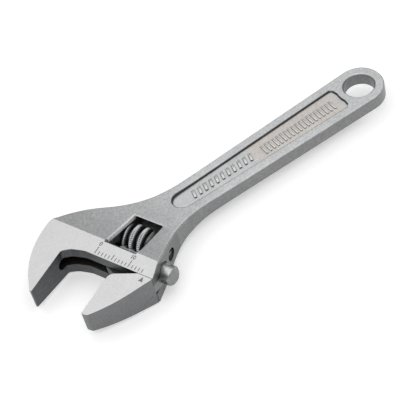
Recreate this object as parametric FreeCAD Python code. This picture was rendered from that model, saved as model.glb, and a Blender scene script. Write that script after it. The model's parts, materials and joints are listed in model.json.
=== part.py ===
import FreeCAD, Part
import math
import os

from FreeCAD import Placement, Rotation, Vector

# Adjustable wrench, millimetres.
# Row frame: the origin is the centre of the hanging hole at mid thickness, +X runs along the
# handle away from the head, +Z is square to the flat of the handle.
# Head frame: the origin is the root of the fixed jaw, its X ("reach") points towards the jaw
# tips, its Y ("across") points the way the sliding jaw opens, its Z is the row's Z.

# ---------------------------------------------------------------- handle
EYE_TO_ROOT = 85.2          # hanging hole to jaw root, along the handle
ROOT_OFFSET = 6.75          # jaw root to the handle's centre line
HANDLE_THICKNESS = 4.0
EYE_RADIUS = 6.45           # outside of the eye round the hanging hole
HOLE_DIAMETER = 8.0
HOLE_CHAMFER = 0.3
HANDLE_FLARE = 0.022        # gain in half width for each millimetre towards the eye
PANEL_INSET = 2.6           # rim left beside the sunk panel
PANEL_DEPTH = 0.5
PANEL_START = 57.9          # rounded end of the panel, from the hanging hole
PANEL_HOLE_RIM = 6.2        # radius about the hanging hole where the panel ends
PANEL_CORNER = 0.9
PANEL_DRAFT = 12.0          # degrees that the panel's wall leans outwards
PANEL_SCOOP = 0.55          # share of the panel's eye end that follows the hanging hole
PANEL_END_STEP = 0.2        # the flat beside that scoop stands this far back from it

# ---------------------------------------------------------------- head
HEAD_ANGLE = 22.0           # jaws to handle
THROAT_THICKNESS = 9.0
JAW_TAPER = 5.0             # degrees on each ground face
GROUND_DEPTH = 4.75         # ground faces run this far behind the throat
NECK_SLOPE_LENGTH = 29.9    # from the ground faces to the flat of the handle
THROAT_LENGTH = 26.0
JAW_REACH = 15.1
TIP_WIDTH = 0.55            # blunt end of the fixed jaw
FIXED_JAW_WIDTH = 8.05
FIXED_JAW_ROUND = 22.2
SHOULDER_REACH = -4.5       # corner where the fixed jaw's back turns into the head's back
SHOULDER_ROUND = 6.0
BACK_REACH = -10.85         # corner between the head's back and the long neck line
BACK_ACROSS = -3.95
BACK_ROUND = 27.0
NECK_BACK_ANGLE = 34.0      # neck line on the fixed jaw's side, to the handle
NECK_BACK_ROUND = 30.0
NECK_FRONT_ANGLE = 36.7     # neck line on the sliding jaw's side, to the handle
NECK_FRONT_ROUND = 25.0
ROOT_RELIEF = ((2.45, 0.0, 1.0), (1.0, 2.0, 4.0), (0.0, 5.6, 6.0))   # reach, across, radius

# ---------------------------------------------------------------- sliding jaw
OPENING = 15.2              # between the jaws at rest
ROD_DIAMETER = 5.0
ROD_DEPTH = 5.34            # rod axis behind the throat
ROD_STUB = 12.6             # rod end past the jaw's face
ROD_CHAMFER = 0.35
ROD_CLEARANCE = 0.15
WEB_THICKNESS = 2.8
WEB_CLEARANCE = 0.12
WEB_LEAD = 3.9              # web and rod stand this far ahead of the jaw's face
WEB_NOSE_REACH = 1.9
WEB_NOSE_BULGE = (0.36, 0.55)         # middle of the nose's curve, as shares of its reach and lead
WEB_RISE = 1.0              # the web runs this far up into the jaw
WEB_END_INSET = 0.4         # web's end inside the jaw's
SLIDE_GAP = 0.04            # jaw's seat over the throat face
SLIDE_END_ROOM = 0.4        # channel past the web when the jaws are shut
SLOT_NOSE_REACH = 4.8       # notch that takes the web's nose in the fixed jaw
SLIDING_TIP_WIDTH = 1.6
SLIDING_TIP_ROUND = 1.3
SLIDING_BACK = (10.38, 5.64, 45.0)    # corner of the jaw's back: reach, across its face, radius
SLIDING_BASE = 10.8
SHOULDER_RELIEF = 2.98      # relieved foot of the jaw's face
SHOULDER_RELIEF_LENGTH = 6.6
SHOULDER_RELIEF_ROUND = 2.0

# ---------------------------------------------------------------- worm, pin and spring
WORM_RADIUS = 4.1
WORM_LENGTH = 7.6
WORM_LEAD = 2.4             # one start, right hand
THREAD_DEPTH = 1.3
THREAD_CREST = 0.75
THREAD_FLANK = 20.0         # degrees
THREAD_PHASE = 11.35        # a crest faces the rack at this place across
WORM_CHAMFER = 0.9
MESH_DEPTH = 1.2
MESH_CLEARANCE = 0.12
RACK_ROOT_ROOM = 0.2
THREAD_SINK = 0.1           # thread's root below the core's surface
WINDOW_START = 10.25
WORM_START_ROOM = 0.12
WORM_END_ROOM = 0.33
WINDOW_FINGER_ROOM = 0.45
WINDOW_PAST_ROD = 0.14
WINDOW_CORNER = 0.35
SIDE_BEVEL_FOOT = 1.9       # the first side's bevel starts this far from mid thickness
SIDE_BEVEL_LEAN = 26.6      # degrees from square to the handle
NEAR_BEVEL_WIDTH = 1.05     # bevel beside the ground face
NEAR_BEVEL_DEPTH = 1.3
PIN_DIAMETER = 3.0
PIN_HEAD_STEP = 0.15        # head wider than the shank, on the radius
PIN_HEAD_ROOM = 0.3         # shoulder of the head past the window
PIN_TIP_CHAMFER = 0.3
PIN_RUNNING_CLEARANCE = 0.05
PIN_TIP_DEPTH = 3.2
PIN_RECESS = 0.9
PIN_SLOT_WIDTH = 0.6
PIN_SLOT_DEPTH = 0.8
SPRING_WIRE = 0.4
SPRING_TURNS = 4.5
SPRING_ROOM = 0.12
SPRING_POCKET_DEPTH = 3.0
SPRING_SEAT_ROOM = 0.03

# ---------------------------------------------------------------- scale marks
TICK_FIRST = 8.42           # across, tick nought
TICK_COUNT = 15
TICK_WIDTH = 0.2
TICK_DEPTH = 0.12
TICK_EDGE = 0.35            # lower ends behind the throat
TICK_SHORT = 1.05
TICK_MIDDLE = 1.6
TICK_LONG = 2.1
DIGIT_HEIGHT = 1.2
DIGIT_WIDTH = 0.75
DIGIT_BEHIND = 3.35         # digit centres behind the throat
ONE_OFFSET = -0.6           # the two figures of ten, from their tick
NOUGHT_OFFSET = 0.1
POINTER_SIZE = 1.35
POINTER_HALF_WIDTH = 0.61
POINTER_REACH = 0.45

# ---------------------------------------------------------------- worked out
BIG = 60.0
HALF_HANDLE = HANDLE_THICKNESS / 2
TAPER = math.tan(math.radians(JAW_TAPER))
ROD_RADIUS = ROD_DIAMETER / 2
CHANNEL_RADIUS = ROD_RADIUS + ROD_CLEARANCE
SLOT_HALF = WEB_THICKNESS / 2 + WEB_CLEARANCE
CHANNEL_END = -WEB_LEAD - SLIDE_END_ROOM
WORM_AXIS = -ROD_DEPTH - ROD_RADIUS - WORM_RADIUS + MESH_DEPTH
WORM_START = WINDOW_START + WORM_START_ROOM
WORM_END = WORM_START + WORM_LENGTH
WINDOW_END = WORM_END + WORM_END_ROOM
WINDOW_NEAR = -ROD_DEPTH + WINDOW_PAST_ROD
WINDOW_FAR = WORM_AXIS - WORM_RADIUS - WINDOW_FINGER_ROOM
GROOVE_ROOT = WORM_AXIS + WORM_RADIUS + RACK_ROOT_ROOM
PIN_RADIUS = PIN_DIAMETER / 2
PIN_HEAD_RADIUS = PIN_RADIUS + PIN_HEAD_STEP
THREAD_SLOPE = math.tan(math.radians(THREAD_FLANK))
SPRING_INSIDE = PIN_RADIUS + SPRING_ROOM
SPRING_OUTSIDE = SPRING_INSIDE + SPRING_WIRE
POCKET_RADIUS = SPRING_OUTSIDE + SPRING_ROOM
HEAD_PLACE = Placement(Vector(-EYE_TO_ROOT, ROOT_OFFSET, 0), Rotation(Vector(0, 0, 1), 180 + HEAD_ANGLE))


def in_row(reach, across):
    """Row-frame point of a place in the head frame, at mid thickness."""
    return HEAD_PLACE.multVec(Vector(reach, across, 0))


def half_width(x):
    """Half the width of the handle at this x of the row frame."""
    return EYE_RADIUS + HANDLE_FLARE * x


def half_ground(reach):
    """Half the thickness between the ground faces."""
    return THROAT_THICKNESS / 2 - reach * TAPER


def corner_arc(before, corner, after, radius):
    """Start, middle and end of the arc that rounds a corner, or None where it stays sharp."""
    back = (before - corner).normalize()
    ahead = (after - corner).normalize()
    half_angle = back.getAngle(ahead) / 2
    if radius <= 0:
        return None
    run = radius / math.tan(half_angle)
    bisector = (back + ahead).normalize()
    centre = corner + bisector * (radius / math.sin(half_angle))
    return corner + back * run, centre - bisector * radius, corner + ahead * run


def closed_outline(corners):
    """Closed wire through (point, radius) corners, each rounded by its own radius."""
    count = len(corners)
    arcs = []
    for i, (point, radius) in enumerate(corners):
        arcs.append(corner_arc(corners[i - 1][0], point, corners[(i + 1) % count][0], radius))
    edges = []
    for i, (point, radius) in enumerate(corners):
        arc = arcs[i]
        following = (i + 1) % count
        leave = arc[2] if arc else point
        arrive = arcs[following][0] if arcs[following] else corners[following][0]
        if arc:
            edges.append(Part.Arc(*arc).toShape())
        if leave.distanceToPoint(arrive) > 1e-6:
            edges.append(Part.makeLine(leave, arrive))
    return Part.Wire(edges)


def slab(wire, low, high):
    """Solid between two heights with the outline of a wire drawn at height nought."""
    face = Part.Face(wire)
    face.translate(Vector(0, 0, low))
    return face.extrude(Vector(0, 0, high - low))


def placed(shape):
    """The shape moved from the head frame to the row frame."""
    moved = shape.copy()
    moved.Placement = HEAD_PLACE.multiply(moved.Placement)
    return moved


def along_slide(radius, start, end, reach):
    """Cylinder parallel to the slide, in the head frame."""
    return Part.makeCylinder(radius, end - start, Vector(reach, start, 0), Vector(0, 1, 0))


def both_faces(shape):
    """The shape and its mirror image in the mid plane."""
    return [shape, shape.mirror(Vector(0, 0, 0), Vector(0, 0, 1))]


def meet(point, angle, side):
    """Where a line through the point at this angle to the handle meets the handle's edge."""
    slope = math.tan(math.radians(angle))
    x = (side * EYE_RADIUS - point.y + slope * point.x) / (slope - side * HANDLE_FLARE)
    return Vector(x, side * half_width(x), 0)


# ---------------------------------------------------------------- body
def jaw_corners():
    """Corners of the fixed jaw and the head, from the eye side round to the throat's open end."""
    turn = math.asin((JAW_REACH - TIP_WIDTH) / FIXED_JAW_ROUND)
    back_corner = FIXED_JAW_ROUND * math.tan(turn / 2)
    tip_run = (FIXED_JAW_WIDTH - TIP_WIDTH) / math.sin(turn)
    jaw_back = JAW_REACH - tip_run * math.cos(turn)
    corners = [
        (in_row(BACK_REACH, BACK_ACROSS), BACK_ROUND),
        (in_row(SHOULDER_REACH, -FIXED_JAW_WIDTH), SHOULDER_ROUND),
        (in_row(jaw_back, -FIXED_JAW_WIDTH), min(FIXED_JAW_ROUND, tip_run / math.tan(turn / 2) * 0.98)),
        (in_row(JAW_REACH, -TIP_WIDTH), 0.2),
        (in_row(JAW_REACH, 0), 0.15),
    ]
    corners += [(in_row(reach, across), radius) for reach, across, radius in ROOT_RELIEF]
    corners.append((in_row(0, THROAT_LENGTH), 0.2))
    return corners


def body_outline():
    """Outline of the forging, seen square to the handle."""
    upper_neck = meet(in_row(BACK_REACH, BACK_ACROSS), -NECK_BACK_ANGLE, 1)
    lower_neck = meet(in_row(0, THROAT_LENGTH), NECK_FRONT_ANGLE, -1)
    far = EYE_RADIUS
    corners = [(upper_neck, NECK_BACK_ROUND)] + jaw_corners() + [(lower_neck, NECK_FRONT_ROUND)]
    corners.append((Vector(far, -half_width(far), 0), EYE_RADIUS * 0.97))
    corners.append((Vector(far, half_width(far), 0), EYE_RADIUS * 0.97))
    return closed_outline(corners)


def side_profile():
    """Side profile in the head frame: flat handle, hollow rise to the head, ground taper to the tips."""
    rise = half_ground(-GROUND_DEPTH) - HALF_HANDLE
    radius = (NECK_SLOPE_LENGTH ** 2 + rise ** 2) / (2 * rise)
    half_run = NECK_SLOPE_LENGTH / 2
    flat_end = -GROUND_DEPTH - NECK_SLOPE_LENGTH
    tail = flat_end - 2 * EYE_TO_ROOT
    front = JAW_REACH + 2
    upper = [
        Vector(flat_end, 0, HALF_HANDLE),
        Vector(flat_end + half_run, 0, HALF_HANDLE + radius - math.sqrt(radius ** 2 - half_run ** 2)),
        Vector(-GROUND_DEPTH, 0, half_ground(-GROUND_DEPTH)),
    ]
    lower = [Vector(p.x, 0, -p.z) for p in upper]
    edges = [
        Part.Arc(*upper).toShape(),
        Part.makeLine(upper[2], Vector(front, 0, half_ground(front))),
        Part.makeLine(Vector(front, 0, half_ground(front)), Vector(front, 0, -half_ground(front))),
        Part.makeLine(Vector(front, 0, -half_ground(front)), lower[2]),
        Part.Arc(lower[2], lower[1], lower[0]).toShape(),
        Part.makeLine(lower[0], Vector(tail, 0, -HALF_HANDLE)),
        Part.makeLine(Vector(tail, 0, -HALF_HANDLE), Vector(tail, 0, HALF_HANDLE)),
        Part.makeLine(Vector(tail, 0, HALF_HANDLE), upper[0]),
    ]
    return Part.Wire(edges)


def across_bar(profile, span):
    """Solid of a side profile drawn out across the head, both ways."""
    face = Part.Face(profile)
    face.translate(Vector(0, -span, 0))
    return face.extrude(Vector(0, 2 * span, 0))


def forging():
    """The blank: the outline cut to the side profile."""
    prism = slab(body_outline(), -THROAT_THICKNESS, THROAT_THICKNESS)
    return prism.common(placed(across_bar(side_profile(), 2 * EYE_TO_ROOT)))


def panel_wire(grow):
    """Outline of the sunk panel, its wall moved outwards by grow."""
    near = -PANEL_START - grow
    inset = PANEL_INSET - grow
    rim = PANEL_HOLE_RIM - grow
    radius = half_width(near) - inset
    start = near + radius
    half_far = half_width(-rim) - inset
    flat_y = half_far - PANEL_CORNER
    scoop_y = flat_y * PANEL_SCOOP
    scoop_x = -math.sqrt(rim ** 2 - scoop_y ** 2)
    flat_x = scoop_x - PANEL_END_STEP
    middle = PANEL_CORNER * (1 - math.cos(math.radians(45)))

    def end_corner(side):
        """Rounded corner at the eye end, from the long wall to the flat."""
        return [
            Vector(flat_x - PANEL_CORNER, side * half_far, 0),
            Vector(flat_x - middle, side * (half_far - middle), 0),
            Vector(flat_x, side * flat_y, 0),
        ]

    lower = end_corner(-1)
    upper = end_corner(1)
    scoop = [Vector(scoop_x, -scoop_y, 0), Vector(-rim, 0, 0), Vector(scoop_x, scoop_y, 0)]
    start_arc = [Vector(start, radius, 0), Vector(near, 0, 0), Vector(start, -radius, 0)]
    edges = [
        Part.Arc(*start_arc).toShape(),
        Part.makeLine(start_arc[2], lower[0]),
        Part.Arc(*lower).toShape(),
        Part.makeLine(lower[2], scoop[0]),
        Part.Arc(*scoop).toShape(),
        Part.makeLine(scoop[2], upper[2]),
        Part.Arc(*reversed(upper)).toShape(),
        Part.makeLine(upper[0], start_arc[0]),
    ]
    return Part.Wire(edges)


def panel_cut():
    """Room of the sunk panel on the upper face, its wall leaning outwards."""
    lean = math.tan(math.radians(PANEL_DRAFT))
    above = 1.5
    floor = HALF_HANDLE - PANEL_DEPTH
    low = panel_wire(0)
    low.translate(Vector(0, 0, floor))
    high = panel_wire(lean * (PANEL_DEPTH + above))
    high.translate(Vector(0, 0, HALF_HANDLE + above))
    return Part.makeLoft([low, high], True, True)


def window_cut():
    """Through window for the worm, with its wide bevels, in the head frame."""
    corners = [
        (Vector(WINDOW_NEAR, WINDOW_START, 0), WINDOW_CORNER),
        (Vector(WINDOW_NEAR, WINDOW_END, 0), WINDOW_CORNER),
        (Vector(WINDOW_FAR, WINDOW_END, 0), WINDOW_CORNER),
        (Vector(WINDOW_FAR, WINDOW_START, 0), WINDOW_CORNER),
    ]
    return slab(closed_outline(corners), -BIG / 4, BIG / 4)


def mark_bar(centre_reach, across, length, width):
    """Cutter for one straight mark on the upper ground face, in the head frame."""
    bar = Part.makeBox(length, width, 1.0, Vector(-length / 2, -width / 2, 0))
    bar.Placement = Placement(
        Vector(centre_reach, across, half_ground(centre_reach) - TICK_DEPTH),
        Rotation(Vector(0, 1, 0), JAW_TAPER),
    )
    return bar


def mark_ring(centre_reach, across, height, width):
    """Cutter for a nought on the upper ground face, in the head frame."""
    ellipse = Part.Ellipse(Vector(0, 0, 0), height / 2, width / 2)
    inner = Part.Ellipse(Vector(0, 0, 0), height / 2 - TICK_WIDTH, width / 2 - TICK_WIDTH)
    face = Part.Face(Part.Wire(ellipse.toShape())).cut(Part.Face(Part.Wire(inner.toShape())))
    ring = face.extrude(Vector(0, 0, 1.0))
    ring.Placement = Placement(
        Vector(centre_reach, across, half_ground(centre_reach) - TICK_DEPTH),
        Rotation(Vector(0, 1, 0), JAW_TAPER),
    )
    return ring


def scale_marks():
    """Cutters for the millimetre ticks and the numbers 0 and 10."""
    cutters = []
    for tick in range(TICK_COUNT):
        length = TICK_LONG if tick % 10 == 0 else TICK_MIDDLE if tick % 5 == 0 else TICK_SHORT
        across = TICK_FIRST + tick
        cutters.append(mark_bar(-TICK_EDGE - length / 2, across, length, TICK_WIDTH))
    ten = TICK_FIRST + 10
    cutters.append(mark_ring(-DIGIT_BEHIND, TICK_FIRST, DIGIT_HEIGHT, DIGIT_WIDTH))
    cutters.append(mark_bar(-DIGIT_BEHIND, ten + ONE_OFFSET, DIGIT_HEIGHT, TICK_WIDTH))
    cutters.append(mark_ring(-DIGIT_BEHIND, ten + NOUGHT_OFFSET, DIGIT_HEIGHT, DIGIT_WIDTH))
    return cutters


def slide_cuts():
    """Round channel of the rod and the slot of the web, in the head frame."""
    channel = along_slide(CHANNEL_RADIUS, CHANNEL_END, BIG, -ROD_DEPTH)
    nose = SLOT_NOSE_REACH - SLOT_HALF
    flat = Part.makeBox(nose + ROD_DEPTH, BIG - CHANNEL_END, 2 * SLOT_HALF)
    flat.translate(Vector(-ROD_DEPTH, CHANNEL_END, -SLOT_HALF))
    round_end = along_slide(SLOT_HALF, CHANNEL_END, BIG, nose)
    return [channel, flat, round_end]


def bevel_cutters():
    """Wedges that break two of the window's edges on the upper face, in the head frame."""
    overlap = 0.01
    height = THROAT_THICKNESS
    lean = math.tan(math.radians(SIDE_BEVEL_LEAN))
    side = Part.makePolygon([
        Vector(WINDOW_FAR, WINDOW_START + overlap, SIDE_BEVEL_FOOT),
        Vector(WINDOW_FAR, WINDOW_START + overlap, SIDE_BEVEL_FOOT + height),
        Vector(WINDOW_FAR, WINDOW_START - height * lean, SIDE_BEVEL_FOOT + height),
        Vector(WINDOW_FAR, WINDOW_START + overlap, SIDE_BEVEL_FOOT),
    ])
    side = Part.Face(side).extrude(Vector(WINDOW_NEAR - WINDOW_FAR, 0, 0))
    face = half_ground(WINDOW_NEAR)
    near_start = WINDOW_START - lean * (face - SIDE_BEVEL_FOOT)
    near = Part.makePolygon([
        Vector(WINDOW_NEAR - overlap, near_start, face - NEAR_BEVEL_DEPTH),
        Vector(WINDOW_NEAR + 2 * NEAR_BEVEL_WIDTH, near_start, face + NEAR_BEVEL_DEPTH),
        Vector(WINDOW_NEAR - overlap, near_start, face + NEAR_BEVEL_DEPTH),
        Vector(WINDOW_NEAR - overlap, near_start, face - NEAR_BEVEL_DEPTH),
    ])
    near = Part.Face(near).extrude(Vector(0, WINDOW_END - near_start, 0))
    return [side, near]


def wrench_body():
    """Handle, head and fixed jaw, one forging."""
    body = forging()
    hole = Part.makeCylinder(HOLE_DIAMETER / 2, BIG, Vector(0, 0, -BIG / 2))
    flare = Part.makeCone(
        HOLE_DIAMETER / 2, HOLE_DIAMETER / 2 + HOLE_CHAMFER + 1, HOLE_CHAMFER + 1,
        Vector(0, 0, HALF_HANDLE - HOLE_CHAMFER),
    )
    cuts = [hole] + both_faces(flare) + both_faces(panel_cut())
    head_cuts = [window_cut()] + slide_cuts() + scale_marks()
    for wedge in bevel_cutters():
        head_cuts += both_faces(wedge)
    head_cuts.append(along_slide(PIN_HEAD_RADIUS, WINDOW_END - 1, BIG, WORM_AXIS))
    head_cuts.append(along_slide(PIN_RADIUS, WINDOW_START - PIN_TIP_DEPTH, WINDOW_START + 1, WORM_AXIS))
    for cut in cuts:
        body = body.cut(cut)
    for cut in head_cuts:
        body = body.cut(placed(cut))
    return body


def flank_at(reach):
    """Place across where the head's open side lies at this reach."""
    return THROAT_LENGTH + reach * math.tan(math.radians(NECK_FRONT_ANGLE - HEAD_ANGLE))


# ---------------------------------------------------------------- sliding jaw
def jaw_plate():
    """The sliding jaw above the throat, ground to the same taper as the head."""
    face = OPENING
    back_reach, back_across, back_round = SLIDING_BACK
    corners = [
        (Vector(JAW_REACH, face, 0), 0.15),
        (Vector(JAW_REACH, face + SLIDING_TIP_WIDTH, 0), SLIDING_TIP_ROUND),
        (Vector(back_reach, face + back_across, 0), back_round),
        (Vector(SLIDE_GAP, face + SLIDING_BASE, 0), 0.2),
        (Vector(SLIDE_GAP, face + SHOULDER_RELIEF_LENGTH, 0), 0),
        (Vector(SHOULDER_RELIEF, face, 0), SHOULDER_RELIEF_ROUND),
    ]
    prism = slab(closed_outline(corners), -THROAT_THICKNESS, THROAT_THICKNESS)
    return prism.common(across_bar(side_profile(), BIG))


def jaw_web():
    """Web between the jaw and its rod, with the nose that runs ahead of the jaw's face."""
    start = OPENING - WEB_LEAD
    end = OPENING + SLIDING_BASE - WEB_END_INSET
    bulge_reach, bulge_lead = WEB_NOSE_BULGE
    nose_foot = Vector(0, start, 0)
    nose_top = Vector(WEB_NOSE_REACH, OPENING, 0)
    nose_middle = Vector(WEB_NOSE_REACH * bulge_reach, start + WEB_LEAD * bulge_lead, 0)
    corners = [
        nose_top,
        Vector(SHOULDER_RELIEF + WEB_RISE, OPENING + WEB_END_INSET, 0),
        Vector(WEB_RISE, end, 0),
        Vector(-ROD_DEPTH, end, 0),
        Vector(-ROD_DEPTH, start, 0),
        nose_foot,
    ]
    edges = [Part.Arc(nose_foot, nose_middle, nose_top).toShape()]
    edges += [Part.makeLine(a, b) for a, b in zip(corners, corners[1:])]
    return slab(Part.Wire(edges), -WEB_THICKNESS / 2, WEB_THICKNESS / 2)


def groove_half_width(reach):
    """Half the width of a rack groove at this reach."""
    return THREAD_CREST / 2 + MESH_CLEARANCE + (GROOVE_ROOT - reach) * THREAD_SLOPE


def rack_groove(across):
    """Cutter for one rack groove, wider than the thread by the mesh clearance and laid at its lead."""
    over = -ROD_DEPTH - ROD_RADIUS - 1
    points = [
        Vector(GROOVE_ROOT, -groove_half_width(GROOVE_ROOT), -ROD_DIAMETER),
        Vector(GROOVE_ROOT, groove_half_width(GROOVE_ROOT), -ROD_DIAMETER),
        Vector(over, groove_half_width(over), -ROD_DIAMETER),
        Vector(over, -groove_half_width(over), -ROD_DIAMETER),
    ]
    groove = Part.Face(Part.makePolygon(points + points[:1])).extrude(Vector(0, 0, 2 * ROD_DIAMETER))
    mean_radius = WORM_RADIUS - THREAD_DEPTH / 2
    lean = math.degrees(math.atan(WORM_LEAD / (2 * math.pi * mean_radius)))
    groove.rotate(Vector(0, 0, 0), Vector(1, 0, 0), lean)
    groove.translate(Vector(0, across, 0))
    return groove


def jaw_rod():
    """Round rod of the sliding jaw with its rack, grooved out through both ends."""
    start = OPENING - WEB_LEAD
    end = OPENING + ROD_STUB
    rod = along_slide(ROD_RADIUS, start, end, -ROD_DEPTH)
    rims = [edge for edge in rod.Edges if edge.Closed]
    rod = rod.makeChamfer(ROD_CHAMFER, rims)
    spill = groove_half_width(-ROD_DEPTH - ROD_RADIUS)
    before = math.floor((THREAD_PHASE - start + spill) / WORM_LEAD)
    after = math.floor((end + spill - THREAD_PHASE) / WORM_LEAD)
    for k in range(-before, after + 1):
        rod = rod.cut(rack_groove(THREAD_PHASE + k * WORM_LEAD))
    return rod


def pointer_mark():
    """Cutter for the triangle that reads the scale, upper face."""
    points = [
        Vector(0, 0, 0),
        Vector(POINTER_SIZE, POINTER_HALF_WIDTH, 0),
        Vector(POINTER_SIZE, -POINTER_HALF_WIDTH, 0),
    ]
    wedge = Part.Face(Part.makePolygon(points + points[:1])).extrude(Vector(0, 0, 1))
    wedge.Placement = Placement(
        Vector(POINTER_REACH, TICK_FIRST + OPENING, half_ground(POINTER_REACH) - TICK_DEPTH),
        Rotation(Vector(0, 1, 0), JAW_TAPER),
    )
    return wedge


def sliding_jaw():
    """Sliding jaw: ground plate, web and toothed rod in one piece."""
    jaw = jaw_plate().fuse(jaw_web()).fuse(jaw_rod()).removeSplitter()
    return placed(jaw.cut(pointer_mark()))


# ---------------------------------------------------------------- worm, pin and spring
def on_worm_axis(shape, start):
    """A shape made along Z from nought, moved onto the worm's axis in the row frame."""
    moved = shape.copy()
    moved.Placement = Placement(Vector(WORM_AXIS, start, 0), Rotation(Vector(1, 0, 0), -90))
    return placed(moved)


def worm_thread():
    """Right-hand thread along Z, run past both ends of the worm."""
    root = WORM_RADIUS - THREAD_DEPTH - THREAD_SINK
    half_crest = THREAD_CREST / 2
    half_root = half_crest + (WORM_RADIUS - root) * THREAD_SLOPE
    turns = math.ceil(WORM_LENGTH / WORM_LEAD) + 3
    phase = (THREAD_PHASE - WORM_START) % WORM_LEAD
    helix = Part.makeHelix(WORM_LEAD, turns * WORM_LEAD, root)
    points = [
        Vector(root, 0, -half_root),
        Vector(WORM_RADIUS, 0, -half_crest),
        Vector(WORM_RADIUS, 0, half_crest),
        Vector(root, 0, half_root),
    ]
    profile = Part.makePolygon(points + points[:1])
    thread = Part.Wire(helix.Edges).makePipeShell([profile], True, True)
    thread.translate(Vector(0, 0, phase - 2 * WORM_LEAD))
    return thread


def worm():
    """Thumb worm with its thread, running bore and the spring's pocket."""
    blank = Part.makeCylinder(WORM_RADIUS + 0.02, WORM_LENGTH)
    blank = blank.makeChamfer(WORM_CHAMFER, [edge for edge in blank.Edges if edge.Closed])
    core = Part.makeCylinder(WORM_RADIUS - THREAD_DEPTH, WORM_LENGTH)
    body = core.fuse(worm_thread().common(blank))
    body = body.cut(Part.makeCylinder(PIN_RADIUS + PIN_RUNNING_CLEARANCE, WORM_LENGTH))
    pocket = Part.makeCylinder(POCKET_RADIUS, SPRING_POCKET_DEPTH)
    pocket.translate(Vector(0, 0, WORM_LENGTH - SPRING_POCKET_DEPTH))
    return on_worm_axis(body.cut(pocket), WORM_START)


def worm_pin():
    """Screw pin that carries the worm: plain shank, wider slotted head sunk in the head's flank."""
    start = WINDOW_START - PIN_TIP_DEPTH
    shoulder = WINDOW_END + PIN_HEAD_ROOM
    end = flank_at(WORM_AXIS) - PIN_RECESS
    shank = Part.makeCylinder(PIN_RADIUS, end - start)
    tip = [edge for edge in shank.Edges if edge.Closed and edge.CenterOfMass.z < PIN_TIP_CHAMFER]
    shank = shank.makeChamfer(PIN_TIP_CHAMFER, tip)
    head = Part.makeCylinder(PIN_HEAD_RADIUS, end - shoulder)
    head.translate(Vector(0, 0, shoulder - start))
    slot = Part.makeBox(4 * PIN_HEAD_RADIUS, PIN_SLOT_WIDTH, 2 * PIN_SLOT_DEPTH)
    slot.translate(Vector(-2 * PIN_HEAD_RADIUS, -PIN_SLOT_WIDTH / 2, end - start - PIN_SLOT_DEPTH))
    return on_worm_axis(shank.fuse(head).removeSplitter().cut(slot), start)


def worm_spring():
    """Compression spring in the worm's pocket, its ends ground flat."""
    start = WORM_END - SPRING_POCKET_DEPTH + SPRING_SEAT_ROOM
    length = WINDOW_END - start
    mean = SPRING_INSIDE + SPRING_WIRE / 2
    helix = Part.makeHelix(length / SPRING_TURNS, length, mean)
    circle = Part.makeCircle(SPRING_WIRE / 2, Vector(mean, 0, 0), Vector(0, 1, 0))
    coil = Part.Wire(helix.Edges).makePipeShell([Part.Wire(circle)], True, True)
    room = Part.makeCylinder(POCKET_RADIUS, length)
    return on_worm_axis(coil.common(room), start)


NODES = {
    "wrench_body": wrench_body,
    "sliding_jaw": sliding_jaw,
    "worm": worm,
    "worm_pin": worm_pin,
    "worm_spring": worm_spring,
}


def main():
    """Write every sub-part to its own STEP file."""
    os.makedirs("parts", exist_ok=True)
    for name, build in NODES.items():
        shape = build()
        solids = shape.Solids
        print(name, "valid", shape.isValid(), "solids", len(solids), "volume", round(shape.Volume, 2))
        solids[0].exportStep("parts/" + name + ".step")


if __name__ == "__main__":
    main()
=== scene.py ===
"""Adjustable wrench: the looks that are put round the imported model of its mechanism."""

import json
import logging
import math
from collections.abc import Callable
from dataclasses import dataclass, field
from enum import Enum

import bmesh
import bpy
import numpy as np
from mathutils import Matrix, Vector


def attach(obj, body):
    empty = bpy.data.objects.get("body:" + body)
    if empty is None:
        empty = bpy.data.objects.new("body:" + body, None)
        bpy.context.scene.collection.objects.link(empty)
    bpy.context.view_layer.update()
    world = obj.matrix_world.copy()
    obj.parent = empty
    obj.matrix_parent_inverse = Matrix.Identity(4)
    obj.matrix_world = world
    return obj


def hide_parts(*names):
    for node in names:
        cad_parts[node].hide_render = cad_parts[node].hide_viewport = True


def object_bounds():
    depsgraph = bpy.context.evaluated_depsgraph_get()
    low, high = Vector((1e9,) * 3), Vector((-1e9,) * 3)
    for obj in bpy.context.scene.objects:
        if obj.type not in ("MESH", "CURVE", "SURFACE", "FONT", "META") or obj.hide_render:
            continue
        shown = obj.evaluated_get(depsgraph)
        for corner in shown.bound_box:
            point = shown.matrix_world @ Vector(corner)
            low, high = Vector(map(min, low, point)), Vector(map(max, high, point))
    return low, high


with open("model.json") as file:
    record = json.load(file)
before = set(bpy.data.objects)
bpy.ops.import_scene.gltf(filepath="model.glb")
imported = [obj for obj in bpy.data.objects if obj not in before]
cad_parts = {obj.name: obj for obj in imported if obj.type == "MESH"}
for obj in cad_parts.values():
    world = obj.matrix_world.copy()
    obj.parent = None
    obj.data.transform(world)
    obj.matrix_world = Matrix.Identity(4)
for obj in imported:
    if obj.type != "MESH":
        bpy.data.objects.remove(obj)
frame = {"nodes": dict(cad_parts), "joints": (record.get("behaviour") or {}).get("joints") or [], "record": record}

LOG = logging.getLogger("wrench")
CAD_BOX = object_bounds()
MM = 0.001
WELD = 0.002 * MM
FLAT_ANGLE = math.radians(0.4)
GROUND_BORDER = math.radians(9)
FLAT_WEIGHT = 90


# ------------------------------------------------------------------ places taken from the frame
def packed_joint(name: str) -> dict:
    """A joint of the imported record."""
    return next(joint for joint in frame["joints"] if joint["name"] == name)


@dataclass(frozen=True)
class Patch:
    """A rectangle in the head's own axes, in metres."""

    reach: tuple[float, float]
    across: tuple[float, float]

    def holds(self, reach: float, across: float) -> bool:
        """Whether a place lies in the patch."""
        return self.reach[0] < reach < self.reach[1] and self.across[0] < across < self.across[1]


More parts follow.
